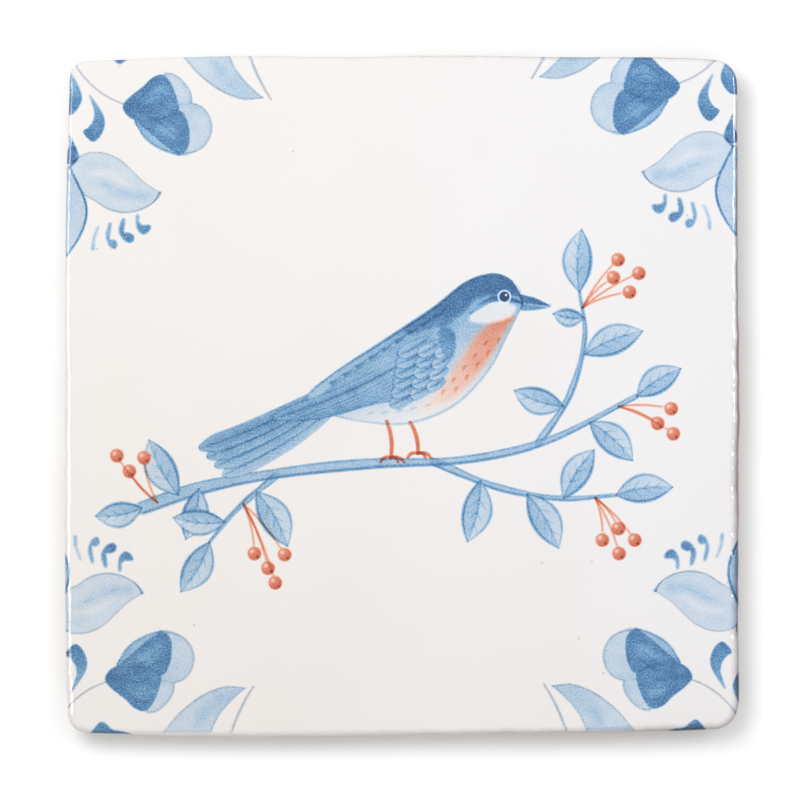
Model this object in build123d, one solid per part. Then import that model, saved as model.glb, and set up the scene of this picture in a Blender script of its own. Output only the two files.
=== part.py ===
"""A Delft wall tile: one hand-cut slab of fired clay under tin glaze.

The tile lies on its back with its glazed face up. X runs along the picture's width, Y up the picture and
Z out of the glazed face. The origin is on the back, under the middle of the tile.
"""

import math
import os
from typing import NamedTuple

from build123d import *

# Overall size, in millimetres: the traditional wall tile of about 13 by 13 cm
WIDTH = 130.0
HEIGHT = 130.7
THICKNESS = 8.0

# Edges, in millimetres
GLAZED_ARRIS = 1.4  # soft rounding where the glaze runs over the edge of the face
BACK_ARRIS = 0.6  # worn arris round the back
CUT_BEVEL = 1.1  # how far each cut side leans in from the face down to the back

# Plan radius of each corner, in millimetres: hand-cut corners are never alike
CORNER_TOP_LEFT = 3.0
CORNER_TOP_RIGHT = 4.8
CORNER_BOTTOM_RIGHT = 5.0
CORNER_BOTTOM_LEFT = 3.4

# The spline of each side passes through this many points, evenly spaced from corner to corner
STATIONS = 21


class Side(NamedTuple):
    """How one cut side wanders from its straight line, in millimetres, waves and degrees."""

    bow: float  # how far both ends fall back behind the middle
    lean: float  # how far the far end stands out beyond the middle, and the near end falls back
    ripple: float  # height of the small waves that the cutting left
    waves: float  # full waves from corner to corner
    phase: float  # where the waves start

    def offset(self, t):
        """Distance outside the straight line at t, which runs from -1 to 1 along the side."""
        wave = math.sin(math.pi * self.waves * t + math.radians(self.phase))
        return -self.bow * t**4 + self.lean * t + self.ripple * wave


# Left and right run from the bottom corner to the top one, bottom and top from the left corner to the right one
LEFT = Side(bow=0.98, lean=-0.27, ripple=0.04, waves=3.0, phase=-120)
RIGHT = Side(bow=0.44, lean=-0.31, ripple=0.14, waves=1.9, phase=103)
BOTTOM = Side(bow=0.78, lean=-0.46, ripple=0.12, waves=1.6, phase=-150)
TOP = Side(bow=0.97, lean=0.02, ripple=0.14, waves=3.0, phase=8)


def between(ends, t):
    """The value at t, which runs from -1 to 1 between two end values."""
    return ends[0] + (ends[1] - ends[0]) * (t + 1) / 2


def side_points(setback):
    """Points along the four sides at a level where the outline is set back by that much all round."""
    half_x = WIDTH / 2 - setback
    half_y = HEIGHT / 2 - setback
    left = [-half_x - LEFT.offset(t) for t in (-1, 1)]
    right = [half_x + RIGHT.offset(t) for t in (-1, 1)]
    low = [-half_y - BOTTOM.offset(t) for t in (-1, 1)]
    high = [half_y + TOP.offset(t) for t in (-1, 1)]
    steps = [2 * i / (STATIONS - 1) - 1 for i in range(STATIONS)]
    return [
        [(between((left[0], right[0]), t), -half_y - BOTTOM.offset(t)) for t in steps],
        [(half_x + RIGHT.offset(t), between((low[1], high[1]), t)) for t in steps],
        [(between((left[1], right[1]), t), half_y + TOP.offset(t)) for t in steps],
        [(-half_x - LEFT.offset(t), between((low[0], high[0]), t)) for t in steps],
    ]


def outline(level, setback):
    """The sharp-cornered outline at a height above the back, as a face."""
    splines = [Spline(*points) for points in side_points(setback)]
    return Pos(0, 0, level) * make_face(Curve() + splines)


def corner_edge(slab, x_sign, y_sign):
    """The upright edge of the slab in the quarter that the signs give."""
    quarter = [e for e in slab.edges() if e.center().X * x_sign > 0 and e.center().Y * y_sign > 0]
    return min(quarter, key=lambda e: abs(e.center().Z - THICKNESS / 2))


def make_tile():
    """The slab between its back and its face, with rounded corners and arrises, centred over the origin."""
    slab = loft([outline(0, CUT_BEVEL), outline(THICKNESS, 0)], ruled=True)
    corner_radii = {
        (-1, 1): CORNER_TOP_LEFT,
        (1, 1): CORNER_TOP_RIGHT,
        (1, -1): CORNER_BOTTOM_RIGHT,
        (-1, -1): CORNER_BOTTOM_LEFT,
    }
    for signs, radius in corner_radii.items():
        slab = fillet(corner_edge(slab, *signs), radius)
    slab = fillet(slab.faces().sort_by(Axis.Z)[-1].edges(), GLAZED_ARRIS)
    slab = fillet(slab.faces().sort_by(Axis.Z)[0].edges(), BACK_ARRIS)
    middle = slab.bounding_box().center()
    return Pos(-middle.X, -middle.Y, 0) * slab


os.makedirs("parts", exist_ok=True)
tile = make_tile()
export_step(tile, "parts/delft_tile.step")
print("tile", tile.bounding_box().size, "volume", round(tile.volume))
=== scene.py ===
import math
from typing import NamedTuple

import bpy
import numpy as np
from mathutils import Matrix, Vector
from mathutils.geometry import delaunay_2d_cdt


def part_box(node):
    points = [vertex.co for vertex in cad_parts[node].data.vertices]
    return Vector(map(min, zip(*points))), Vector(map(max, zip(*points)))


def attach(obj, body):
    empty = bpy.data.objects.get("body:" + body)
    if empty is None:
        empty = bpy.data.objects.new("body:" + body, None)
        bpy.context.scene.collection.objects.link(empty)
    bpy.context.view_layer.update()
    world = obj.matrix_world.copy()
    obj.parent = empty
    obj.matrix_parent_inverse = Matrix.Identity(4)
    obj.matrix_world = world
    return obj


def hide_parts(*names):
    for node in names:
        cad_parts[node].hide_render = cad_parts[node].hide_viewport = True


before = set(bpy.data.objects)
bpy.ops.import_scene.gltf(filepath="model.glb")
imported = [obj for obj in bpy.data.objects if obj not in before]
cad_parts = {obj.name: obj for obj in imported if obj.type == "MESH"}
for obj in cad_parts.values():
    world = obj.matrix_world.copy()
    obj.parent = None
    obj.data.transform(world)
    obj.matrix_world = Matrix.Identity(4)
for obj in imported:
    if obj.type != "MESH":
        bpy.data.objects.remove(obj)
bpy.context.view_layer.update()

TILE = "delft_tile"
MM = 0.001

# The photograph's frame: its size in pixels, its scale on the face and where the tile's middle lies in it
IMAGE_PX = 800
PX_PER_MM = 5.2
MIDDLE_PX = (402.3, 396.2)

# The tile's thickness, from the frame, and the rounding of its edges, in millimetres
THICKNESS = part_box(TILE)[1].z / MM
GLAZED_ARRIS = 1.4
BACK_ARRIS = 0.6
ARRIS_WANDER = 0.16  # how far the glazed rounding varies round the tile, as a share of itself
CUT_BUMPS = 0.1  # height of the small bumps along the cut sides

# The glazed rounding along the top, as a share of GLAZED_ARRIS, and what the other sides add to it
ARRIS_TOP = 0.7
ARRIS_RIGHT = 0.95
ARRIS_LEFT = 0.5
ARRIS_LOW = 0.3

# The glaze and the back, in millimetres
LONG_SWELL = 0.02  # height of the slow waves of the face
SHORT_SWELL = 0.004  # height of its small waves
GLAZE_FOOT = 3.0  # how high above the back the glaze stops
FOOT_WANDER = 1.1  # how far that height varies round the tile
FOOT_SOFT = 0.5  # height over which the glaze gives way to the clay
BACK_ROUGH = 0.05  # how far the clay of the back is hollowed
RIPPLE_DEPTH = 0.02  # fine relief: the ripples of the glaze,
DIMPLE_DEPTH = 0.13  # its dimples where it turns over the edge
GRIT_DEPTH = 0.15  # and the grit of the clay

# How finely the tile is meshed, in millimetres unless it is a count
RIM_POINTS = 1400
ARRIS_RINGS = 11
SIDE_RINGS = 5
BACK_ARRIS_RINGS = 4
SPLINE_STEPS = 16  # steps from knot to knot of a curve, before its points are evenly spaced
ARCH_STEPS = 24  # points of a shallow arch, before they are evenly spaced
DISC_POINTS = 19
MARK_STEP = 0.6  # spacing of the points along a brush mark
LEAST_POINTS = 6  # fewest points along a brush mark
WASH_GRID = 1.0  # spacing of the points inside a wash
FACE_GRID = 2.6  # spacing of the points on bare glaze
BACK_GRID = 1.6
BACK_SCATTER = 0.3  # how far the points of the back stray from their grid, as a share of its spacing
RIM_MARGIN = 0.25  # bare width between the points of a rim and those inside it
CELL = 0.1  # no two points of the face share a cell of this size

# The paint, in millimetres unless it is a share
EDGE = 0.34  # soft width of a brush edge
LINE_EDGE = 0.26  # soft width of the edge of a drawn line
GUIDE_OFFSET = 0.55  # how far to each side of an edge the mesh has points, as a share of its soft width
POOL_WIDTH = 0.45  # how far in from its rim a wash dries darker
OUTLINE_GREY = 0.45  # coral in the thin outlines, as a share of their cobalt
PAINT_END = 0.8  # how far down the rounding the paint starts to fade, as a share of the rounding
PAINT_FADE = 0.9  # how far it takes to fade
HALF_FACE = 65.0  # the ornament's places are measured in from this far out


# Curves of the drawing

def evenly(path, step=MARK_STEP):
    """The same path with its points evenly spaced."""
    gaps = np.hypot(*np.diff(path, axis=0).T)
    along = np.concatenate([[0], np.cumsum(gaps)])
    count = max(int(round(along[-1] / step)) + 1, LEAST_POINTS)
    spots = np.linspace(0, along[-1], count)
    return np.stack([np.interp(spots, along, path[:, 0]), np.interp(spots, along, path[:, 1])], axis=1)


def spline(knots, closed=False):
    """Evenly spaced points on a smooth curve through the knots; a closed one ends where it starts."""
    knots = np.asarray(knots, float)
    if closed:
        padded = np.concatenate([knots[-1:], knots, knots[:2]])
    else:
        padded = np.concatenate([2 * knots[:1] - knots[1:2], knots, 2 * knots[-1:] - knots[-2:-1]])
    t = np.linspace(0, 1, SPLINE_STEPS, endpoint=False)[:, None]
    spans = []
    for a, b, c, d in zip(padded, padded[1:], padded[2:], padded[3:]):
        cubic = (3 * b - a - 3 * c + d) * t ** 3
        square = (2 * a - 5 * b + 4 * c - d) * t ** 2
        spans.append(0.5 * (2 * b + (c - a) * t + square + cubic))
    spans.append(knots[:1] if closed else knots[-1:])
    return evenly(np.concatenate(spans))


def bow(start, end, rise):
    """A shallow arch from start to end that rises to its left."""
    start = np.asarray(start, float)
    run = np.asarray(end, float) - start
    left = np.array([-run[1], run[0]]) / np.hypot(*run)
    t = np.linspace(0, 1, ARCH_STEPS)[:, None]
    return evenly(start + run * t + left * rise * 4 * t * (1 - t))


def disc(middle, radius):
    """A circle round a middle point."""
    turns = np.linspace(0, 2 * math.pi, DISC_POINTS)
    return np.asarray(middle) + radius * np.stack([np.cos(turns), np.sin(turns)], axis=1)


def left_of(path):
    """Unit steps to the left of a path, one at each of its points."""
    run = np.gradient(path, axis=0)
    run = run / (np.hypot(run[:, 0], run[:, 1])[:, None] + 1e-9)
    return np.stack([-run[:, 1], run[:, 0]], axis=1)


def ease(t):
    """A smooth step from 0 to 1 as t goes from 0 to 1."""
    t = np.clip(t, 0, 1)
    return t * t * (3 - 2 * t)


def nearest(points, path):
    """Distance from each point to a path, and how far along it the nearest place lies, from 0 to 1."""
    runs = np.diff(path, axis=0)
    squares = (runs ** 2).sum(axis=1) + 1e-12
    best = np.full(len(points), np.inf)
    along = np.zeros(len(points))
    for index, (start, run, square) in enumerate(zip(path, runs, squares)):
        away = points - start
        share = np.clip(away @ run / square, 0, 1)
        gap = ((away - share[:, None] * run) ** 2).sum(axis=1)
        closer = gap < best
        best = np.where(closer, gap, best)
        along = np.where(closer, index + share, along)
    return np.sqrt(best), along / len(runs)


def depth_inside(points, outline):
    """Distance from each point to a closed outline, positive inside it."""
    gap, _ = nearest(points, outline)
    inside = np.zeros(len(points), bool)
    for (x0, y0), (x1, y1) in zip(outline, outline[1:]):
        spans = (y0 > points[:, 1]) != (y1 > points[:, 1])
        rise = y1 - y0 if y1 != y0 else 1e-12
        inside ^= spans & (points[:, 0] < x0 + (points[:, 1] - y0) / rise * (x1 - x0))
    return np.where(inside, gap, -gap)


# Marks of the brush

def between(loads, share):
    """The load at a share of the way from the first to the last."""
    return loads[0] + (loads[1] - loads[0]) * share


class Wash(NamedTuple):
    """Thin paint that fills a closed outline and shades from one place to another."""
    outline: np.ndarray
    places: tuple  # the two places that it shades between
    loads: tuple  # how much paint it has at each of them
    pigment: str = "cobalt"
    pool: float = 0.3  # how much darker its rim dries
    lifts: float = 0.0  # how much of the paint under it is wiped away first
    edge: float = EDGE
    greyed: float = 0.0  # how much coral is mixed into it, as a share of its own paint

    def lay(self, points):
        """How far the wash covers each point, and its paint there."""
        depth = depth_inside(points, self.outline)
        cover = ease(depth / self.edge + 0.5)
        first, last = np.asarray(self.places, float)
        axis = last - first
        share = np.clip((points - first) @ axis / (axis @ axis), 0, 1)
        rim = 1 + self.pool * np.exp(-np.maximum(depth, 0) / POOL_WIDTH)
        return cover, cover * rim * between(self.loads, share)

    def reach(self):
        """Two corners of a box round the wash."""
        return self.outline.min(axis=0) - self.edge, self.outline.max(axis=0) + self.edge

    def guides(self):
        """Points that a mesh needs to carry this mark: both sides of its rim, and a grid inside."""
        across = left_of(self.outline) * self.edge * GUIDE_OFFSET
        low, high = self.reach()
        grid = lattice(low, high, WASH_GRID)
        inner = grid[depth_inside(grid, self.outline) > self.edge]
        return np.concatenate([self.outline + across, self.outline - across, inner])


class Stroke(NamedTuple):
    """One pull of the brush along a path, with its half-width at each point and its load at each end."""
    path: np.ndarray
    half: np.ndarray
    loads: tuple
    pigment: str = "cobalt"
    lifts: float = 0.0
    edge: float = EDGE
    greyed: float = 0.0

    def lay(self, points):
        """How far the stroke covers each point, and its paint there."""
        gap, share = nearest(points, self.path)
        half = np.interp(share, np.linspace(0, 1, len(self.half)), self.half)
        cover = ease((half - gap) / self.edge + 0.5)
        return cover, cover * between(self.loads, share)

    def reach(self):
        """Two corners of a box round the stroke."""
        margin = self.half.max() + self.edge
        return self.path.min(axis=0) - margin, self.path.max(axis=0) + margin

    def guides(self):
        """Points that a mesh needs to carry this mark: both sides of its rims, round its ends too."""
        left = left_of(self.path)
        half = self.half[:, None]
        outer = half + GUIDE_OFFSET * self.edge
        inner = np.maximum(half - GUIDE_OFFSET * self.edge, 0)
        points = [self.path + left * outer, self.path - left * outer,
                  self.path + left * inner, self.path - left * inner]
        for end, inside in ((0, 1), (-1, -2)):
            ahead = self.path[end] - self.path[inside]
            heading = math.atan2(ahead[1], ahead[0]) + np.radians([-60, -30, 0, 30, 60])
            fan = np.stack([np.cos(heading), np.sin(heading)], axis=1)
            points += [self.path[end] + fan * outer[end], self.path[end] + fan * inner[end]]
        return np.concatenate(points)


def lattice(low, high, step):
    """Points of a square grid between two corners."""
    xs = np.arange(low[0], high[0] + step, step)
    ys = np.arange(low[1], high[1] + step, step)
    return np.stack(np.meshgrid(xs, ys), axis=-1).reshape(-1, 2)


def line(path, width, loads, pigment="cobalt", tip=0.3, lifts=0.0, edge=LINE_EDGE):
    """A drawn line: fullest in the middle, with thinner ends."""
    swell = np.sin(math.pi * np.linspace(0, 1, len(path)))
    return Stroke(path, 0.5 * width * (tip + (1 - tip) * swell), loads, pigment, lifts, edge)


def outline_of(path, width, loads, tip=0.7):
    """A thin outline, greyer than the washes that it holds."""
    return line(path, width, loads, tip=tip)._replace(greyed=OUTLINE_GREY)


def dab(path, width, loads, pigment="cobalt", tip=0.1):
    """A comma of the brush: it starts as a point and ends full and round."""
    swell = np.linspace(0, 1, len(path)) ** 1.2
    return Stroke(path, 0.5 * width * (tip + (1 - tip) * swell), loads, pigment)


# The corner ornament

# Each corner's side, its end, and how far its ornament is shifted in from the two edges, in millimetres
CORNERS = [(-1, 1, 0.0, 0.0), (1, 1, 0.38, -4.0), (1, -1, -2.0, 1.7), (-1, -1, -3.4, 1.25)]


def corner_ornament(side, end, shift_in, shift_along):
    """A flower, leaves and commas in one corner; places are distances in from the side and the end."""

    def at(*places):
        spots = np.asarray(places, float).reshape(-1, 2) + (shift_in, shift_along)
        return np.stack([side * (HALF_FACE - spots[:, 0]), end * (HALF_FACE - spots[:, 1])], axis=1)

    def curve(*places, closed=False):
        return spline(at(*places), closed)

    return bud(at, curve) + side_leaves(at, curve) + end_leaf(at, curve) + commas(at, curve)


def bud(at, curve):
    """The flower bud on its stem: two dark lobes in front of pale petals."""
    top_rim = ((19.2, 3.3), (21.0, 3.2), (22.8, 4.5), (24.3, 6.6), (24.5, 8.7))
    low_rim = ((24.3, 8.7), (26.4, 9.4), (27.9, 11.2), (28.4, 13.6), (27.7, 15.9), (25.9, 17.7),
               (22.4, 18.6))
    cheek_rim = ((13.7, 12.0), (14.4, 13.6), (15.6, 15.4), (17.8, 17.1), (20.6, 18.3), (22.4, 18.6))
    top_petal = curve(*top_rim, (21.5, 10.2), closed=True)
    low_petal = curve(*low_rim, (21.8, 12.0), (21.4, 9.2), closed=True)
    cheek = curve(*cheek_rim, (19.0, 13.5), closed=True)
    top_lobe = curve((11.4, 9.1), (12.9, 7.4), (15.2, 5.6), (17.0, 3.9), (19.0, 3.3), (20.5, 4.8),
                     (21.6, 7.4), (22.0, 10.3), (19.5, 11.6), (15.6, 12.4), (13.2, 11.8), (11.8, 10.6),
                     closed=True)
    low_lobe = curve((14.2, 12.1), (18.0, 11.7), (22.0, 10.2), (23.5, 11.7), (24.1, 14.4), (23.9, 17.2),
                     (22.3, 18.5), (19.9, 17.2), (16.8, 14.6), closed=True)
    stem = curve((2.0, 1.2), (3.9, 3.7), (6.2, 6.0), (8.7, 7.7), (11.4, 8.9))
    marks = [
        outline_of(stem, 0.34, (0.4, 0.46), tip=0.8),
        Wash(top_petal, at((20, 4), (24, 9)), (0.25, 0.33), pool=0.5, lifts=1.0),
        Wash(low_petal, at((23, 11), (28, 15)), (0.36, 0.27), pool=0.4, lifts=1.0),
        Wash(cheek, at((14, 13), (21, 18)), (0.62, 0.5), pool=0.2, lifts=1.0),
        outline_of(curve(*top_rim), 0.34, (0.34, 0.28), tip=0.3),
        outline_of(curve(*low_rim), 0.36, (0.26, 0.46), tip=0.6),
        line(curve(*cheek_rim), 0.38, (0.5, 0.7), tip=0.6),
        Wash(low_lobe, at((16, 13), (24, 16)), (1.1, 1.14), pool=0.12, lifts=1.0),
        Wash(top_lobe, at((11, 10), (21, 6)), (1.24, 1.08), pool=0.12, lifts=1.0),
    ]
    # The brush has left the lobes lighter in their middles, and darker at the base and where they meet
    for middle, wiped in ((((16.0, 8.2), (18.2, 6.6), (20.4, 7.0)), 0.22),
                          (((18.0, 13.4), (20.4, 14.2), (21.8, 15.6)), 0.26)):
        marks.append(line(curve(*middle), 2.3, (0.0, 0.0), lifts=wiped, edge=1.6))
    marks.append(line(curve((12.6, 9.6), (14.2, 9.4), (16.4, 10.6)), 1.8, (0.2, 0.06), edge=1.4))
    marks.append(line(curve((16.8, 11.9), (19.5, 11.5), (22.0, 10.2)), 0.5, (0.1, 0.3), edge=0.6))
    # Fine streaks that fan out from the base
    for fan in np.linspace(0, 1, 5):
        streak = curve((13.4 + fan, 8.8 + 2 * fan), (17.4 + fan, 5.4 + 7 * fan),
                       (20.2 + 2.4 * fan, 5 + 11 * fan))
        marks.append(line(streak, 0.34, (0.14, 0.26)))
    return marks


def side_leaves(at, curve):
    """The pale leaf that springs from the side, and the half leaf that runs off it."""
    hidden = 9  # points at the end of the leaf's lower side that the half leaf covers
    over = curve((2.0, 20.2), (2.7, 19.3), (4.2, 18.5), (6.0, 18.2), (8.4, 18.5), (11.0, 19.8),
                 (13.3, 21.9), (15.5, 24.0), (18.5, 25.9))
    under = curve((18.5, 25.9), (17.3, 27.7), (15.4, 28.9), (13.2, 29.6), (11.0, 29.7), (8.4, 29.0),
                  (6.1, 27.5), (3.9, 26.2), (2.5, 23.4), (1.4, 21.0))
    outer = curve((1.1, 21.0), (2.5, 23.8), (3.8, 26.6), (4.4, 29.0), (4.1, 31.7), (2.8, 34.8), (0.6, 38.0))
    leaf_outline = np.concatenate([over, under[1:], over[:1]])
    half_outline = np.concatenate([outer, at((-3, 38), (-3, 21)), outer[:1]])
    streak = curve((4.0, 22.4), (8.2, 24.4), (11.6, 26.2), (15.8, 26.6))
    return [
        Wash(leaf_outline, at((4, 20), (14, 29)), (0.23, 0.26), pool=0.15),
        line(curve((4.6, 22.6), (8.6, 22.4), (13.2, 25.0)), 1.6, (0.0, 0.0), lifts=0.4, edge=1.8),
        line(streak, 2.4, (0.04, 0.18), tip=0.6, edge=1.6),
        line(curve((7.4, 24.2), (8.4, 24.6), (9.6, 24.9)), 0.5, (0.2, 0.1), edge=0.5),
        line(curve((10.4, 25.4), (12.4, 26.4), (14.2, 26.8)), 0.4, (0.14, 0.08), edge=0.5),
        line(curve((4.6, 20.4), (7.0, 20.8), (9.4, 22.2)), 2.2, (0.1, 0.02), edge=1.8),
        outline_of(over, 0.3, (0.36, 0.25)),
        outline_of(under[:-hidden], 0.34, (0.46, 0.32)),
        dab(curve((17.0, 27.9), (17.9, 27.0), (18.5, 26.0)), 0.6, (0.35, 0.5)),
        Wash(half_outline, at((3, 22), (2, 37)), (0.4, 0.3), pool=0.1),
        line(outer, 0.42, (1.1, 0.95), tip=0.8),
    ]


def end_leaf(at, curve):
    """The half leaf that runs off the end, the line beside it and the dab on the edge."""
    near = curve((22.6, -0.8), (25.1, 2.3), (27.4, 4.4), (29.9, 6.2), (32.5, 7.4), (35.0, 8.0), (38.2, 7.7))
    back = curve((38.2, 7.7), (36.4, 6.2), (34.7, 4.5), (33.0, 2.3), (31.5, -0.8))
    outline = np.concatenate([near, back[1:], near[:1]])
    patch = curve((8.8, -2.0), (9.5, 0.2), (10.6, 1.25), (11.7, 0.7), (12.8, -0.3), (15.0, -0.7),
                  (17.2, -2.0), closed=True)
    beside = curve((35.5, -0.8), (37.0, 2.9), (38.4, 5.7), (39.8, 8.0))
    return [
        Wash(outline, at((26, 1), (35, 7)), (0.26, 0.38), pool=0.15),
        line(curve((28.6, 0.6), (31.6, 4.2), (35.0, 6.6)), 2.4, (0.16, 0.06), edge=1.8),
        outline_of(near, 0.36, (0.32, 0.34)),
        outline_of(back, 0.36, (0.26, 0.3)),
        outline_of(beside, 0.5, (0.44, 0.4)),
        Wash(patch, at((10, 0), (12, 1)), (1.15, 1.0), pool=0.1),
    ]


def commas(at, curve):
    """The dabs between the stem and the side, and the four small ones that fade towards the side."""
    crescent = curve((4.9, 6.9), (6.4, 9.0), (7.5, 10.8), (7.9, 12.6), (7.4, 14.4), (6.5, 15.7),
                     (5.3, 16.1), (3.7, 14.2), (4.7, 13.5), (5.6, 12.2), (5.9, 10.5), (5.4, 8.7),
                     closed=True)
    edge_dab = curve((1.5, 3.0), (2.9, 5.6), (3.5, 7.5), (3.2, 8.9), (2.1, 10.5), (0.9, 11.0), (-0.8, 10.2),
                     (-0.8, 5.4), (0.8, 3.6), closed=True)
    marks = [
        Wash(crescent, at((5, 8), (5.5, 15.5)), (0.72, 1.2), pool=0.1),
        Wash(edge_dab, at((2, 4), (2, 10)), (0.6, 1.2), pool=0.1),
        dab(curve((1.2, 15.0), (1.6, 17.2), (1.2, 19.2)), 2.4, (1.1, 1.3)),
        line(curve((2.2, 17.2), (2.6, 19.2), (1.1, 21.1)), 0.5, (1.0, 1.0), tip=0.7),
    ]
    small = (
        (((13.9, 30.3), (14.5, 30.3), (14.5, 31.6), (15.3, 32.2), (16.7, 32.2), (16.3, 33.4), (15.1, 33.9),
          (14.0, 32.6)), 1.05),
        (((11.2, 31.0), (11.8, 31.1), (11.6, 33.5), (12.5, 33.6), (13.5, 34.3), (13.1, 35.5), (11.8, 35.2),
          (10.6, 33.4)), 1.1),
        (((8.7, 31.8), (9.2, 31.9), (8.8, 34.8), (9.5, 34.9), (10.3, 35.5), (9.9, 36.7), (8.8, 36.2),
          (8.1, 34.2)), 0.9),
        (((6.4, 32.4), (6.9, 32.4), (6.1, 34.7), (5.9, 36.9), (5.3, 36.9), (5.5, 34.8)), 0.55),
    )
    for places, load in small:
        outline = curve(*places, closed=True)
        marks.append(Wash(outline, at(places[0], places[4]), (0.7 * load, load), pool=0.1, edge=0.45))
    return marks


# The picture: a bird on a branch with berries

LIFT = 3.0  # how far the whole picture stands above the middle of the face, in millimetres


def leaf(base, angle, length, width, load=0.3):
    """A leaf on a twig: a pale wash between two brushed sides, a darker half, a midrib and veins."""
    turn = math.radians(angle)
    along = np.array([math.cos(turn), math.sin(turn)])
    across = np.array([-along[1], along[0]]) * width
    base = np.asarray(base, float)
    tip = base + along * length
    middle = base + along * length * 0.5
    left = bow(base, tip, 0.62 * width)
    right = bow(tip, base, 0.38 * width)
    rib = bow(base, tip, 0.12 * width)
    blade = np.concatenate([left, right[1:]])
    dark_half = np.concatenate([rib, right[1:]])
    marks = [
        Wash(blade, (base, tip), (1.3 * load, 0.7 * load), lifts=1.0),
        Wash(dark_half, (middle - across, middle + across), (1.1 * load, 0.2 * load), pool=0.1),
        line(left, 0.5, (0.55, 0.45)),
        line(right, 0.6, (0.55, 0.7)),
        line(rib, 0.4, (0.5, 0.25), tip=0.5),
    ]
    for share in (0.3, 0.5, 0.7):
        root = base + along * length * share + across * 0.1
        for way in (0.34, -0.3):
            end = root + along * length * 0.14 + across * way * (1.2 - share)
            marks.append(line(bow(root, end, 0.0), 0.3, (0.34, 0.16)))
    return marks


def berry(stalk, middle, radius=1.3):
    """A coral berry on a thin stalk, with a wiped light and a dark eye."""
    middle = np.asarray(middle, float)
    light = middle + (-0.35 * radius, 0.35 * radius)
    eye = middle + (0.45 * radius, -0.5 * radius)
    return [
        line(bow(stalk, middle, 0.5), 0.42, (0.75, 0.65), "coral", tip=0.8),
        Wash(disc(middle, radius), (light, eye), (0.75, 1.2), "coral", lifts=1.0),
        Wash(disc(light, 0.3 * radius), (light, eye), (0, 0), lifts=0.55),
        Wash(disc(eye, 0.16 * radius), (light, eye), (0.9, 0.9), edge=0.25),
    ]


def limb(knots, start, end, load):
    """A limb of the branch: it thins from start to end and has a darker lower side."""
    path = spline(knots)
    share = np.linspace(0, 1, len(path))
    half = 0.5 * (start + (end - start) * share) * (1 + 0.12 * np.sin(19 * share))
    below = path - left_of(path) * half[:, None] * 0.7
    above = path + left_of(path) * half[:, None] * 0.9
    return [
        Stroke(path, half, (load, 0.85 * load), lifts=0.6),
        line(below, 0.6, (0.5, 0.45), tip=0.6),
        line(above, 0.4, (0.35, 0.35), tip=0.6),
    ]


def branch():
    """The branch with its twigs, leaves and berries."""
    marks = limb([(6, -15.6), (18, -20.4), (30, -22.6), (41, -22)], 1.5, 0.6, 0.5)
    marks += limb([(26, -12.2), (32, -3), (35, 8), (34, 17)], 1.4, 0.5, 0.5)
    marks += limb([(-24, -18), (-32, -25), (-37, -31)], 1.3, 0.5, 0.5)
    marks += limb([(-50, -24.5), (-38, -20.5), (-22, -17.6), (-6, -16), (12, -15.2), (28, -11.5), (45, -3)],
                  2.6, 0.9, 0.55)
    for base, angle, length, width in (
            ((-50, -24.5), 190, 9, 4.6), ((-43, -22), 118, 12, 5.6), ((-39, -20.8), 255, 10, 4.8),
            ((-28, -21.4), 300, 12, 5.6), ((-37, -31), 240, 11, 5.2), ((-34, -27.2), 175, 10, 4.6),
            ((15, -19.2), 258, 12, 5.4), ((24, -21.8), 300, 12, 5.4), ((41, -22), 8, 11, 5.2),
            ((31, -22.6), 58, 11, 5), ((45, -3), 32, 10, 4.8), ((36, -8), 318, 11, 5.2),
            ((31, -5), 162, 10, 4.8), ((35, 5), 22, 12, 5.4), ((34.9, 12), 172, 6, 3.2),
            ((34, 17), 88, 12, 5.4)):
        marks += leaf(base, angle, length, width)
    for stalk, middles in (
            ((34.6, 14), ((40.5, 19.8), (43.6, 17), (41.4, 23.2), (45.4, 20.6))),
            ((37, -22.5), ((41.5, -28.4), (38.4, -30.6), (44.6, -30.6), (41.6, -33.2))),
            ((-30.5, -23.7), ((-25.8, -36), (-22.6, -33.4), (-28.4, -33.2), (-24.4, -38.8))),
            ((41.5, -5), ((49, -8.2), (51.6, -5.4), (52, -10.2))),
            ((-47, -23.4), ((-52.4, -17.4), (-49.6, -14.8), (-54.8, -14.4)))):
        for middle in middles:
            marks += berry(stalk, middle)
    return marks


def feather(root, tip, width, loads, rise=0.0):
    """One laid feather: a strap with a round tip, a pale rim and a dark shaft."""
    spine = bow(root, tip, rise)
    share = np.linspace(0, 1, len(spine))
    half = 0.5 * width * (0.55 + 0.45 * np.sin(math.pi * 0.5 * np.minimum(1, 2 * share)))[:, None]
    half *= np.sqrt(np.clip((1 - share) / 0.14, 0.02, 1))[:, None]
    left = left_of(spine)
    rim = np.concatenate([spine + left * half, (spine - left * half)[::-1], (spine + left * half)[:1]])
    return [
        Wash(rim, (root, tip), loads, pool=-0.45, lifts=1.0),
        line(evenly(rim), 0.32, (0.5 * loads[0], 0.5 * loads[0])),
        line(spine, 0.36, (0.6, 0.4)),
    ]


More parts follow.
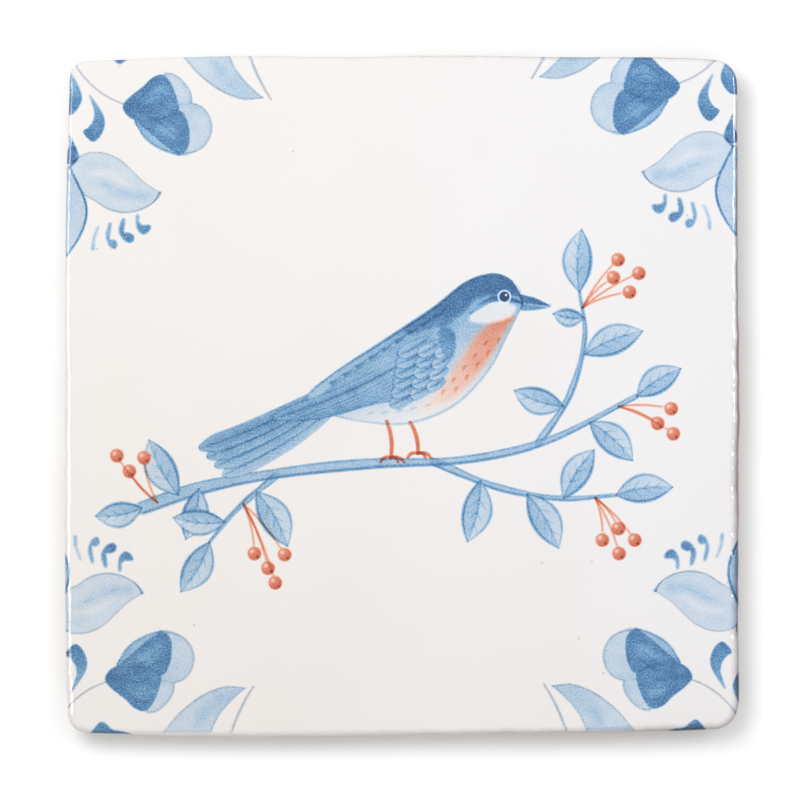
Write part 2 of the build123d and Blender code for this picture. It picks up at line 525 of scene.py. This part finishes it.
def bird():
    """A small bird in profile: blue above, with a coral breast and a pale belly."""
    back = [(22.4, 16.8), (20.6, 19.4), (17.2, 20.4), (12.2, 18.8), (5.8, 13.8), (-3.6, 7.6), (-12.6, 1.8),
            (-18, -2.6)]
    belly = [(-15, -6.2), (-8, -7.8), (1, -8.2), (9.8, -4.8), (16.4, 1.8), (20, 8.4), (22.2, 12.8),
             (23.2, 14.8)]
    body = spline(back + belly, True)
    marks = tail()
    marks.append(Wash(body, ((-0.5, 11.5), (5.5, -6)), (0.8, 0.06), pool=0.1, lifts=1.0))
    breast = spline([(21.5, 12.4), (19.4, 12.2), (15, 9.6), (11.4, 4.6), (7.2, -1.4), (3, -6), (9.2, -4),
                     (15.4, 2.3), (19.1, 8.4)], True)
    marks.append(Wash(breast, ((20.5, 10), (5, -6.5)), (0.85, 0.14), "coral", pool=0.05, lifts=0.85,
                      edge=1.6))
    marks += head()
    marks += wing()
    # Ticks along the back, the flank and the breast
    for share in np.linspace(0, 1, 9):
        start = np.array([8.6 - 20 * share, 14.2 - 12.8 * share])
        marks.append(dab(bow(start, start + (-2.2, -1.9), 0.2), 0.8, (0.4, 0.6)))
    for share in np.linspace(0, 1, 5):
        start = np.array([5.6 - 11 * share, -4.6 - 1.5 * math.sin(share * math.pi * 0.5)])
        marks.append(line(bow(start, start + (-1.3, -0.5), -0.15), 0.5, (0.28, 0.18)))
    for row_end in ((18.9, 8.2), (16.4, 7.6)):
        for share in np.linspace(0, 1, 5):
            start = np.asarray(row_end) - (8.2 * share, 9.4 * share)
            marks.append(line(bow(start, start + (-0.6, -1), -0.15), 0.5, (0.5, 0.3), "coral"))
    marks.append(line(spline(back), 0.55, (0.8, 0.6)))
    marks.append(line(spline(belly), 0.45, (0.4, 0.45)))
    marks += legs()
    return marks


def head():
    """The cap, the pale cheek, the stripe, the beak and the eye."""
    cap = spline([(22.6, 16.6), (20.6, 19.2), (17.2, 20.3), (12.2, 18.7), (5.8, 13.7), (0, 9.6), (6, 9.4),
                  (11, 12.6), (14.4, 15.8), (18.6, 16.6)], True)
    cheek = spline([(21.8, 14.2), (18.2, 15.4), (14.6, 14.4), (12.8, 11.6), (16.4, 11), (20.4, 12)], True)
    upper_beak = np.array([(22.3, 16.6), (25.4, 15.9), (28.8, 14.2), (25.2, 14.6), (23, 14.9),
                           (22.3, 16.6)])
    lower_beak = np.array([(23, 14.8), (25.4, 14.4), (28.2, 14), (25.2, 13.5), (22.6, 13.4), (23, 14.8)])
    eye = np.array([19.6, 16.1])
    glint = eye + (0.3, 0.32)
    return [
        Wash(cap, ((18, 19), (4, 9.5)), (0.7, 0.4), pool=0.1, edge=0.9),
        Wash(cheek, ((21, 14), (13, 12)), (0, 0), lifts=0.85, edge=0.7),
        line(spline([(23, 14.9), (20.2, 15.6), (16.8, 15.4), (13, 12.8)]), 1.1, (1.0, 0.5)),
        Wash(evenly(upper_beak), ((23, 16), (28, 14)), (1.3, 1.7), pool=0.0),
        Wash(evenly(lower_beak), ((23, 14), (28, 14)), (0.9, 1.2), pool=0.0),
        Wash(disc(eye, 1.35), (eye, glint), (0, 0), lifts=0.92, edge=0.3),
        Wash(disc(eye, 0.95), (eye, glint), (2.3, 2.3), pool=0.0, edge=0.25),
        Wash(disc(glint, 0.26), (eye, glint), (0, 0), lifts=1.0, edge=0.2),
    ]


def tail():
    """Four laid tail feathers, the lowest first."""
    marks = []
    for share in np.linspace(0, 1, 4):
        root = (-13 - 2.6 * share, -5 + 2.6 * share)
        tip = (-34.5 - 4.5 * share, -18.2 + 5.2 * share)
        marks += feather(root, tip, 3.4, (0.7 + 0.4 * share, 0.55 + 0.3 * share), 0.9)
    return marks


def wing():
    """The folded wing: long flight feathers, then three rows of coverts laid over each other."""
    fold = spline([(9.8, 9.4), (4.6, 9.8), (-4, 5.2), (-13, -0.6), (-16, -4.6), (-4, -3.8), (4.6, -0.4),
                   (9.4, 4.4)], True)
    marks = [Wash(fold, ((6, 9), (-12, -4)), (0.6, 0.7), lifts=1.0)]
    for share in np.linspace(0, 1, 7):
        root = (0.5 + 3.2 * share, -2.6 + 8.2 * share)
        tip = (-12.5 - 12.5 * share, -5.4 - 2.2 * math.sin(math.pi * share * 0.6) + 0.2 * share)
        marks += feather(root, tip, 2.6, (0.75, 1.0), -0.6 + 1.8 * share)
    for row, (count, length) in enumerate(((6, 6.0), (5, 4.4), (4, 3.4))):
        for share in np.linspace(0, 1, count):
            root = np.array([3.6 + 2.2 * row + 1.5 * share, -1.4 + 0.9 * row + (9.6 - 1.6 * row) * share])
            tip = root + (-length, -0.55 * length)
            marks += feather(root, tip, 2.5 - 0.25 * row, (0.85, 0.6 - 0.1 * row), 0.3)
    shoulder = spline([(9.9, 9.3), (7.2, 9.9), (7.4, 6.6), (8.6, 4.2), (9.9, 5)], True)
    marks.append(Wash(shoulder, ((9, 9), (8, 4)), (0.9, 0.6), lifts=0.8, edge=0.6))
    return marks


def legs():
    """Two coral legs with toes round the branch."""
    marks = []
    for hip, foot in (((1.5, -8), (3, -14)), ((-3, -7.8), (-2.2, -14.8))):
        marks.append(line(bow(hip, foot, 0.5), 0.8, (1.0, 1.2), "coral", tip=0.8))
        for reach in (-2, 1.4, 2.6):
            toe = (foot[0] + reach, foot[1] - 0.9)
            marks.append(line(bow(foot, toe, math.copysign(0.5, reach)), 0.7, (1.1, 1.1), "coral", tip=0.6))
    return marks


def raised(mark):
    """The same mark, moved up with the picture."""
    step = np.array([0, LIFT])
    if isinstance(mark, Wash):
        return mark._replace(outline=mark.outline + step, places=np.asarray(mark.places) + step)
    return mark._replace(path=mark.path + step)


# Tiny brown pinholes in the glaze: where each lies on the face, in millimetres
PINHOLES = [(36.4, -31.8), (33.9, -46.5), (38.6, -53.2), (26.8, -32.0), (-58.6, 28.3), (54.7, 34.7),
            (-21, 47), (-40, -44)]


def pinhole(middle):
    """A speck where the glaze has opened: both pigments' colours together make its brown."""
    spot = disc(middle, 0.1)
    places = (middle, (middle[0] + 1, middle[1]))
    return [Wash(spot, places, (load, load), pigment, edge=0.3)
            for pigment, load in (("cobalt", 0.3), ("coral", 0.4))]


def all_marks():
    """Every mark on the tile, in the order that they are painted."""
    marks = [raised(mark) for mark in branch() + bird()]
    for corner in CORNERS:
        marks += corner_ornament(*corner)
    for middle in PINHOLES:
        marks += pinhole(middle)
    return marks


def paint(marks, points):
    """The load of each pigment at each point of the face."""
    loads = {"cobalt": np.zeros(len(points)), "coral": np.zeros(len(points))}
    for mark in marks:
        low, high = mark.reach()
        close = np.flatnonzero(np.all((points > low) & (points < high), axis=1))
        if not len(close):
            continue
        cover, amount = mark.lay(points[close])
        for load in loads.values():
            load[close] *= 1 - mark.lifts * cover
        loads[mark.pigment][close] += amount
        loads["coral"][close] += mark.greyed * amount
    return loads


# The tile's mesh

def wall_at(height, angles):
    """Where the cut side lies at a height, seen from the middle along each angle, in millimetres."""
    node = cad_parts[TILE]
    spots = []
    for angle in angles:
        heading = Vector((math.cos(angle), math.sin(angle), 0))
        _, spot, _, _ = node.ray_cast(Vector((0, 0, height * MM)), heading)
        spots.append((spot.x / MM, spot.y / MM))
    return np.array(spots)


def rim_angles():
    """Angles from the middle at which points stand evenly spaced round the tile."""
    angles = np.linspace(-math.pi, math.pi, 3 * RIM_POINTS)
    spots = wall_at(0.6 * THICKNESS, angles)
    along = np.concatenate([[0], np.cumsum(np.hypot(*np.diff(spots, axis=0).T))])
    return np.interp(np.linspace(0, along[-1], RIM_POINTS, endpoint=False), along, angles)


def smoothed(ring, reach=3):
    """A closed ring with the flats of its source evened out."""
    return sum(np.roll(ring, step, axis=0) for step in range(-reach, reach + 1)) / (2 * reach + 1)


def wander(share, *waves):
    """A slow uneven wave round the rim, from about -1 to 1; each wave is its count and its phase."""
    total = sum(np.sin(2 * math.pi * (count * share + phase)) for count, phase in waves)
    return total / len(waves)


def rim_rings():
    """Rings of points down the edge, from the flat face over the arris and the side to the flat back."""
    angles = rim_angles()
    low_height = 0.3 * THICKNESS
    high_height = 0.6 * THICKNESS
    low = smoothed(wall_at(low_height, angles))
    high = smoothed(wall_at(high_height, angles))
    lean = (high - low) / (high_height - low_height)
    share = np.arange(RIM_POINTS) / RIM_POINTS
    uneven = wander(share, (9, 0.1), (23, 0.4), (67, 0.7), (131, 0.2))
    # The rounding is widest low down on the right and narrowest along the top
    right = np.clip(np.cos(angles + math.radians(19)), 0, 1) ** 3
    left = np.clip(-np.cos(angles - math.radians(25)), 0, 1) ** 3
    low_end = np.clip(-np.sin(angles), 0, 1) ** 3
    shares = ARRIS_TOP + ARRIS_RIGHT * right + ARRIS_LEFT * left + ARRIS_LOW * low_end
    arris = GLAZED_ARRIS * (shares + ARRIS_WANDER * uneven)[:, None]
    inwards = left_of(np.concatenate([high[-1:], high, high[:1]]))[1:-1]
    # Small bumps that the cutting left, mostly down the right side
    bumps = wander(share, (17, 0.15), (31, 0.5), (59, 0.85))[:, None]
    bumps = CUT_BUMPS * (0.4 + right)[:, None] * bumps
    low = low + inwards * bumps
    high = high + inwards * bumps

    def wall(height):
        """A ring of points on the cut side, at one height or at a height for each point."""
        return np.hstack([low + lean * (height - low_height), np.broadcast_to(height, (RIM_POINTS, 1))])

    def rounded(start, corner, end, t):
        """A point on the round between start and end, which bulges towards the corner."""
        weight = 2 * math.sqrt(0.5) * t * (1 - t)
        return ((1 - t) ** 2 * start + weight * corner + t ** 2 * end) / ((1 - t) ** 2 + weight + t ** 2)

    edge = wall(THICKNESS)
    face = edge + np.hstack([inwards * arris, np.zeros((RIM_POINTS, 1))])
    top_of_side = wall(THICKNESS - arris)
    rings = [rounded(face, edge, top_of_side, t) for t in np.linspace(0, 1, ARRIS_RINGS + 1)]
    for height in np.linspace(1, 0, SIDE_RINGS + 1)[1:]:
        rings.append(top_of_side * height + wall(BACK_ARRIS) * (1 - height))
    foot = wall(0.0)
    flat = foot + np.hstack([inwards * BACK_ARRIS, np.zeros((RIM_POINTS, 1))])
    rings += [rounded(rings[-1], foot, flat, t) for t in np.linspace(0, 1, BACK_ARRIS_RINGS + 1)[1:]]
    return rings


def filled(ring, points):
    """Triangles that fill a ring: their points, the triangles, and which points make the ring."""
    angle = np.arctan2(ring[:, 1], ring[:, 0])
    order = np.argsort(angle)
    reach = np.interp(np.arctan2(points[:, 1], points[:, 0]), angle[order], np.hypot(*ring[order].T),
                      period=2 * math.pi)
    points = points[np.hypot(*points.T) < reach - RIM_MARGIN]
    _, kept = np.unique(np.floor(points / CELL).astype(int), axis=0, return_index=True)
    points = np.concatenate([ring, points[np.sort(kept)]])
    edges = [(index, (index + 1) % len(ring)) for index in range(len(ring))]
    spots, _, faces, sources, _, _ = delaunay_2d_cdt([Vector(p) for p in points], edges, [], 1, 1e-6)
    place = {source: index for index, group in enumerate(sources) for source in group}
    return np.array(spots), faces, [place[index] for index in range(len(ring))]


def swell(points):
    """The slow rise and fall of the glazed face, in millimetres."""
    x, y = points.T
    long_wave = np.sin(x / 17 + 1.1) * np.cos(y / 21 - 0.6) + 0.6 * np.sin((x + 1.4 * y) / 11)
    short_wave = np.sin(x / 4.3 + 2 * np.sin(y / 9)) * np.cos(y / 5.1)
    return LONG_SWELL * long_wave + SHORT_SWELL * short_wave


def tile_shape(marks):
    """The closed mesh of the tile: its points and its faces."""
    rings = rim_rings()
    # Where two points would share a cell the first is kept, so the fine lines, painted last, come first
    guides = [mark.guides() for mark in reversed(marks)]
    reach = np.array([HALF_FACE, HALF_FACE])
    guides.append(lattice(-reach, reach, FACE_GRID))
    face_spots, faces, face_ring = filled(rings[0][:, :2], np.concatenate(guides))
    rng = np.random.default_rng(7)
    grid = lattice(-reach, reach, BACK_GRID)
    grid = grid + rng.uniform(-BACK_SCATTER, BACK_SCATTER, grid.shape) * BACK_GRID
    back_spots, back_faces, back_ring = filled(rings[-1][:, :2], grid)
    points = [np.column_stack([face_spots, np.full(len(face_spots), THICKNESS)])]
    rows = [face_ring]
    total = len(face_spots)
    for ring in rings[1:-1]:
        points.append(ring)
        rows.append(list(range(total, total + RIM_POINTS)))
        total += RIM_POINTS
    points.append(np.column_stack([back_spots, rng.uniform(0, BACK_ROUGH, len(back_spots))]))
    rows.append([total + index for index in back_ring])
    for upper, lower in zip(rows, rows[1:]):
        for index in range(RIM_POINTS):
            after = (index + 1) % RIM_POINTS
            faces.append((upper[index], lower[index], lower[after], upper[after]))
    faces += [tuple(total + index for index in reversed(face)) for face in back_faces]
    return np.concatenate(points), faces


def thinness_and_shade(plan, turn, down):
    """How thin the glaze has run over the edge, together with painted shade on the edge turned from the
    light: most down the right side and least along the bottom.
    """
    low_end = np.clip(-np.sin(2 * math.pi * turn), 0, 1) ** 3
    most = np.clip(0.42 + 0.46 * np.cos(2 * math.pi * turn) - 0.26 * low_end
                   + 0.1 * wander(turn, (5, 0.2), (31, 0.6)), 0, 1)
    # It thins, and its painted shade deepens, slowly low down on the tile, and all at once higher up
    low = ease(0.5 - plan[:, 1] / 40)
    start = 0.18 * (1 - low)
    width = 0.17 + 0.5 * low
    return most * (0.16 * ease(down / 0.05) + 0.95 * ease((down - start) / width))


def placed(name, data):
    """A new object in the scene."""
    thing = bpy.data.objects.new(name, data)
    bpy.context.collection.objects.link(thing)
    return thing


def make_tile(marks):
    """The visible tile, with its paint and its bare clay stored on its points."""
    points, faces = tile_shape(marks)
    plan = points[:, :2]
    height = points[:, 2]
    loads = paint(marks, plan)
    # How far each point lies below the face, as a share of the rounding, and its turn round the middle
    down = np.clip((THICKNESS - height) / GLAZED_ARRIS, 0, None)
    turn = np.arctan2(plan[:, 1], plan[:, 0]) / (2 * math.pi)
    thinned_and_shaded = thinness_and_shade(plan, turn, down)
    # The paint has gathered where the face turns over, is darker as painted shade where the glaze is thin,
    # and stops a little below
    gathered_and_shaded = 1 + 0.4 * ease(down / 0.6) + 1.2 * thinned_and_shaded
    for load in loads.values():
        load *= gathered_and_shaded * (1 - ease((down - PAINT_END) / PAINT_FADE))
    glaze_foot = GLAZE_FOOT + FOOT_WANDER * wander(turn, (7, 0.3), (19, 0.8), (43, 0.1), (90, 0.5))
    values = {
        "cobalt": loads["cobalt"],
        "coral": loads["coral"],
        "clay": 1 - ease((height - glaze_foot) / FOOT_SOFT + 0.5),
        # thin: the glaze thinned over the edge, together with painted shade on the side turned from the
        # light
        "thin": thinned_and_shaded * (1 - 0.7 * ease((down - 0.9) / 1.5)),
    }
    points[:, 2] += swell(plan) * ease(1 - down)
    mesh = bpy.data.meshes.new("glazed_tile")
    mesh.from_pydata(points * MM, [], faces)
    for name, value in values.items():
        layer = mesh.attributes.new(name, "FLOAT", "POINT")
        layer.data.foreach_set("value", value.astype(np.float32))
    mesh.validate()
    mesh.shade_smooth()
    return placed("glazed_tile", mesh)


# Materials

def linear(red, green, blue):
    """A colour given as it shows on a screen, from 0 to 255, in the renderer's own values."""
    def channel(value):
        value = value / 255
        return value / 12.92 if value <= 0.04045 else ((value + 0.055) / 1.055) ** 2.4
    return (channel(red), channel(green), channel(blue), 1.0)


def add_node(tree, kind, inputs=(), **settings):
    """One node; each input is a plain value, or the output of another node to link to it."""
    node = tree.nodes.new("ShaderNode" + kind)
    for name, value in settings.items():
        setattr(node, name, value)
    for name, value in dict(inputs).items():
        if isinstance(value, bpy.types.NodeSocket):
            tree.links.new(value, node.inputs[name])
        else:
            node.inputs[name].default_value = value
    return node


def math_node(tree, operation, first, second=0.0, clamp=False):
    """What one operation makes of two values or sockets."""
    node = add_node(tree, "Math", {0: first, 1: second}, operation=operation, use_clamp=clamp)
    return node.outputs[0]


def scaled(tree, value, factor, offset):
    """A value times a factor, plus an offset."""
    inputs = {0: value, 1: factor, 2: offset}
    return add_node(tree, "Math", inputs, operation="MULTIPLY_ADD").outputs[0]


def place_node(tree, operation, other=(0.0, 0.0, 0.0)):
    """What one operation makes of a point's place on the object, in metres, and another vector."""
    place = add_node(tree, "TexCoord").outputs["Object"]
    return add_node(tree, "VectorMath", {0: place, 1: other}, operation=operation)


def noise(tree, size, detail=2.0, roughness=0.5, squeeze=(1.0, 1.0, 1.0)):
    """Soft noise from 0 to 1, with features of about this size in millimetres, longer where squeezed."""
    place = place_node(tree, "MULTIPLY", squeeze).outputs["Vector"]
    inputs = {"Vector": place, "Scale": 1 / (size * MM), "Detail": detail, "Roughness": roughness}
    return add_node(tree, "TexNoise", inputs).outputs["Fac"]


def stored(tree, name):
    """A value that the mesh carries on its points."""
    return add_node(tree, "Attribute", attribute_name=name).outputs["Fac"]


def bumped(tree, height, depth, strength, below=None):
    """The surface with a relief of this depth, in millimetres, on top of the relief below it."""
    inputs = {"Height": height, "Distance": depth * MM, "Strength": strength}
    if below:
        inputs["Normal"] = below
    return add_node(tree, "Bump", inputs).outputs["Normal"]


def ramp(tree, value, stops):
    """Colours along a value."""
    node = add_node(tree, "ValToRGB", {"Fac": value})
    elements = node.color_ramp.elements
    while len(elements) < len(stops):
        elements.new(1.0)
    for element, (place, colour) in zip(elements, stops):
        element.position = place
        element.color = colour
    return node.outputs["Color"]


def blended(tree, share, first, second, kind="MIX"):
    """Two colours, the second laid over the first by a share."""
    node = add_node(tree, "Mix", {"Factor": share}, data_type="RGBA", blend_type=kind)
    for socket, value in ((node.inputs[6], first), (node.inputs[7], second)):
        if isinstance(value, bpy.types.NodeSocket):
            tree.links.new(value, socket)
        else:
            socket.default_value = value
    return node.outputs[2]


# What each pigment leaves of the white under it, at rising loads
FULL_LOAD = 2.5
GLAZE = (245, 242, 240)
COBALT = ((0.0, GLAZE), (0.25, (206, 220, 233)), (0.6, (148, 187, 218)), (1.0, (91, 146, 191)),
          (1.5, (57, 105, 157)), (2.4, (34, 54, 90)))
CORAL = ((0.0, GLAZE), (0.25, (248, 220, 208)), (0.6, (240, 172, 148)), (1.0, (226, 126, 96)),
         (1.5, (204, 94, 66)), (2.4, (150, 62, 44)))

# The glaze from its warm low left to its cool upper right, lighter there as painted light; what shows where
# it is thin, made darker as painted shade; and the clay with its sand
GLAZE_TONE_AND_LIGHT = ((0.15, (246, 240, 235)), (0.85, (251, 248, 248)))
THIN_GLAZE_AND_SHADE = (140, 115, 110)
CLAY_SHADES = ((0.36, (180, 159, 136)), (0.5, (204, 186, 166)), (0.64, (222, 208, 190)))
SAND_SHADES = ((0.66, (255, 255, 255)), (0.74, (168, 140, 118)))


def shades(stops):
    """Stops of a ramp, with their colours in the renderer's own values."""
    return [(place, linear(*colour)) for place, colour in stops]


def tint(tree, load, stops):
    """The colour that a pigment lets through at a load, as a share of the glaze's own colour."""
    white = linear(*GLAZE)
    shares = []
    for place, colour in stops:
        share = [min(c / w, 1.0) for c, w in zip(linear(*colour), white)]
        shares.append((place / FULL_LOAD, share))
    return ramp(tree, math_node(tree, "DIVIDE", load, FULL_LOAD, clamp=True), shares)


def grained(tree, load, fine, coarse):
    """A pigment's load, broken up by the grain of the paint."""
    speckle = scaled(tree, noise(tree, 0.32, 2.0, 0.6), 2 * fine, 1 - fine)
    cloud = scaled(tree, noise(tree, 2.6, 2.0), 2 * coarse, 1 - coarse)
    return math_node(tree, "MULTIPLY", load, math_node(tree, "MULTIPLY", speckle, cloud))


def cloudy_tone_and_painted_light(tree):
    """A share from 0 to 1 that drifts from the low left to the upper right, with soft clouds in it; the
    drift is painted light.
    """
    slope = (0.35 / (HALF_FACE * MM), 0.14 / (HALF_FACE * MM), 0.0)
    drift = place_node(tree, "DOT_PRODUCT", slope).outputs["Value"]
    return math_node(tree, "ADD", drift, scaled(tree, noise(tree, 34, 3.0), 0.6, 0.2))


def drag_marks(tree):
    """Long streaks where a wire was pulled through the wet clay, from 0 to 1."""
    return noise(tree, 2.4, 3.0, 0.6, squeeze=(0.05, 1.0, 1.0))


def bare_clay(tree):
    """Buff clay with a fine grain, slow clouds, drag marks and dark grains of sand."""
    grain = math_node(tree, "MULTIPLY", noise(tree, 1.4, 6.0, 0.7), 0.4)
    cloud = math_node(tree, "MULTIPLY", noise(tree, 22, 3.0), 0.35)
    drag = math_node(tree, "MULTIPLY", drag_marks(tree), 0.25)
    shade = math_node(tree, "ADD", grain, math_node(tree, "ADD", cloud, drag))
    body = ramp(tree, shade, shades(CLAY_SHADES))
    sand = ramp(tree, noise(tree, 0.8, 1.0), shades(SAND_SHADES))
    return blended(tree, 1.0, body, sand, "MULTIPLY")


def rim_dimples(tree):
    """Height of the dimples that the glaze has where it turns down over the edge of the face."""
    facing = add_node(tree, "TexCoord").outputs["Normal"]
    upward = add_node(tree, "SeparateXYZ", {0: facing}).outputs["Z"]
    # 0 on the flat of the face and 1 where the glaze has turned down
    rim = math_node(tree, "MULTIPLY", math_node(tree, "SUBTRACT", 0.99, upward), 25.0, clamp=True)
    dimples = math_node(tree, "SUBTRACT", noise(tree, 1.5, 1.0), 0.5)
    return math_node(tree, "MULTIPLY", dimples, rim)


def new_material(name):
    """A new material, its node tree and its shader."""
    material = bpy.data.materials.new(name)
    material.use_nodes = True
    return material, material.node_tree, material.node_tree.nodes["Principled BSDF"]


def tile_material():
    """White tin glaze over painted pigment, with painted light across it and painted shade on its turned
    edge, and bare buff clay where the glaze stops.
    """
    material, tree, shader = new_material("tin_glaze")
    clay = stored(tree, "clay")
    thin = stored(tree, "thin")
    # Painted light: the glaze is lighter and cooler towards the upper right
    glaze = ramp(tree, cloudy_tone_and_painted_light(tree), shades(GLAZE_TONE_AND_LIGHT))
    # Thinned glaze shows the clay, with painted shade on the edge turned from the light
    glaze = blended(tree, math_node(tree, "MULTIPLY", thin, 0.95), glaze, linear(*THIN_GLAZE_AND_SHADE))
    cobalt = tint(tree, grained(tree, stored(tree, "cobalt"), 1.0, 0.3), COBALT)
    coral = tint(tree, grained(tree, stored(tree, "coral"), 0.5, 0.2), CORAL)
    painted = blended(tree, 1.0, glaze, cobalt, "MULTIPLY")
    painted = blended(tree, 1.0, painted, coral, "MULTIPLY")
    colour = blended(tree, clay, painted, bare_clay(tree))
    tree.links.new(colour, shader.inputs["Base Color"])
    # The glaze shines, a little unevenly, and the clay is dull
    gloss = scaled(tree, noise(tree, 9, 3.0), 0.06, 0.04)
    tree.links.new(scaled(tree, clay, 0.7, gloss), shader.inputs["Roughness"])
    # Fine relief: slow ripples, the dimples of the rim and the grit of the clay
    sand = math_node(tree, "ADD", noise(tree, 0.5, 4.0, 0.7), drag_marks(tree))
    relief = bumped(tree, noise(tree, 5, 4.0, 0.5), RIPPLE_DEPTH, 0.5)
    relief = bumped(tree, rim_dimples(tree), DIMPLE_DEPTH, 1.0, relief)
    relief = bumped(tree, math_node(tree, "MULTIPLY", sand, clay), GRIT_DEPTH, 0.8, relief)
    tree.links.new(relief, shader.inputs["Normal"])
    shader.inputs["IOR"].default_value = 1.5
    return material


def in_view(tree):
    """1 for a ray that shows the background, straight or in a gloss, and 0 for one that only lights."""
    path = add_node(tree, "LightPath")
    bent = math_node(tree, "ADD", path.outputs["Is Glossy Ray"], path.outputs["Is Transmission Ray"])
    return math_node(tree, "ADD", path.outputs["Is Camera Ray"], bent, clamp=True)


def floor_material():
    """A floor that shows as white, with the tile's shadow on it and a soft painted shade close round the
    tile.
    """
    material, tree, shader = new_material("white_floor")
    shader.inputs["Base Color"].default_value = (0.85, 0.85, 0.85, 1.0)
    shader.inputs["Roughness"].default_value = 0.9
    shader.inputs["Specular IOR Level"].default_value = 0.0
    shader.inputs["Emission Color"].default_value = (1.0, 1.0, 1.0, 1.0)
    # The glow rises away from the tile, where the lamps reach less
    away = place_node(tree, "LENGTH").outputs["Value"]
    glow = add_node(tree, "MapRange", {"Value": away, "From Min": 0.12, "From Max": 0.7,
                                       "To Min": 0.29, "To Max": 0.68}).outputs["Result"]
    # Painted shade: the glow dims close round the tile, where ambient occlusion finds the floor hidden
    painted_shade_ao = add_node(tree, "AmbientOcclusion", {"Distance": 7 * MM}, samples=16).outputs["AO"]
    open_share = add_node(tree, "MapRange", {"Value": painted_shade_ao, "From Min": 0.5, "To Min": 0.36})
    glow = math_node(tree, "MULTIPLY", open_share.outputs["Result"], glow)
    tree.links.new(math_node(tree, "MULTIPLY", in_view(tree), glow), shader.inputs["Emission Strength"])
    return material


# Stage

FLOOR_HALF = 3.0  # half the floor's width, in metres
FLOOR_GAP = 0.05  # how far the floor lies below the tile's back, in millimetres


def add_floor():
    """A plain pale floor under the tile."""
    mesh = bpy.data.meshes.new("floor")
    corners = [(FLOOR_HALF * x, FLOOR_HALF * y, 0) for x, y in ((-1, -1), (1, -1), (1, 1), (-1, 1))]
    mesh.from_pydata(corners, [], [(0, 1, 2, 3)])
    floor = placed("floor", mesh)
    floor.location.z = -FLOOR_GAP * MM
    floor.data.materials.append(floor_material())


def aimed(place, target):
    """The turn that points an object's own -Z from a place to a target."""
    return (Vector(target) - Vector(place)).to_track_quat("-Z", "Y").to_euler()


def add_lamp(name, place, target, size, watts, colour=(1.0, 1.0, 1.0), glint=False):
    """A rectangular soft light, in metres and watts; a glint shows in the gloss alone, others never do."""
    lamp = bpy.data.lights.new(name, "AREA")
    lamp.shape = "RECTANGLE"
    lamp.size, lamp.size_y = size
    lamp.energy = watts
    lamp.color = colour
    holder = placed(name, lamp)
    holder.location = place
    holder.rotation_euler = aimed(place, target)
    holder.visible_diffuse = not glint
    holder.visible_glossy = glint
    holder.visible_camera = False


DOME = 0.39  # strength of the light from all round; the background itself shows as white


def add_lights():
    """Soft lamps, two that only glint in the gloss, and a white world that lights at its own strength."""
    add_lamp("key", (-0.19, 0.2, 0.5), (0, 0, 0), (0.28, 0.28), 1.6)
    add_lamp("right_fill", (0.4, 0.18, 0.5), (0, 0, 0), (0.3, 0.3), 0.64, (0.86, 0.94, 1.0))
    add_lamp("front_fill", (0.2, -1.2, 1.2), (0, 0, 0), (0.6, 0.6), 2.4)
    add_lamp("left_glint", (-1.15, 0.05, 0.965), (0, 0.05, 0), (0.7, 0.9), 19, glint=True)
    add_lamp("right_glint", (0.75, 0.18, 0.83), (0, 0.18, 0), (0.36, 0.36), 7.5, glint=True)
    world = bpy.data.worlds.new("studio")
    bpy.context.scene.world = world
    world.use_nodes = True
    tree = world.node_tree
    shade = tree.nodes["Background"]
    tree.links.new(scaled(tree, in_view(tree), 1 - DOME, DOME), shade.inputs["Strength"])
    shade.inputs["Color"].default_value = (1.0, 1.0, 1.0, 1.0)


LENS = 180  # in millimetres
SENSOR = 36


def add_camera():
    """A long lens straight above the face, framed as the photograph is."""
    camera = bpy.data.cameras.new("camera")
    camera.lens = LENS
    camera.sensor_width = SENSOR
    span = IMAGE_PX / PX_PER_MM * MM
    away = span * LENS / SENSOR
    across = (IMAGE_PX / 2 - MIDDLE_PX[0]) / PX_PER_MM * MM
    up = (MIDDLE_PX[1] - IMAGE_PX / 2) / PX_PER_MM * MM
    holder = placed("camera", camera)
    holder.location = (across, up, (THICKNESS - GLAZED_ARRIS) * MM + away)
    bpy.context.scene.camera = holder


tile = make_tile(all_marks())
tile.data.materials.append(tile_material())
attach(tile, "root")
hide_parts(TILE)
add_floor()
add_lights()
add_camera()
bpy.context.scene.view_settings.view_transform = "Standard"
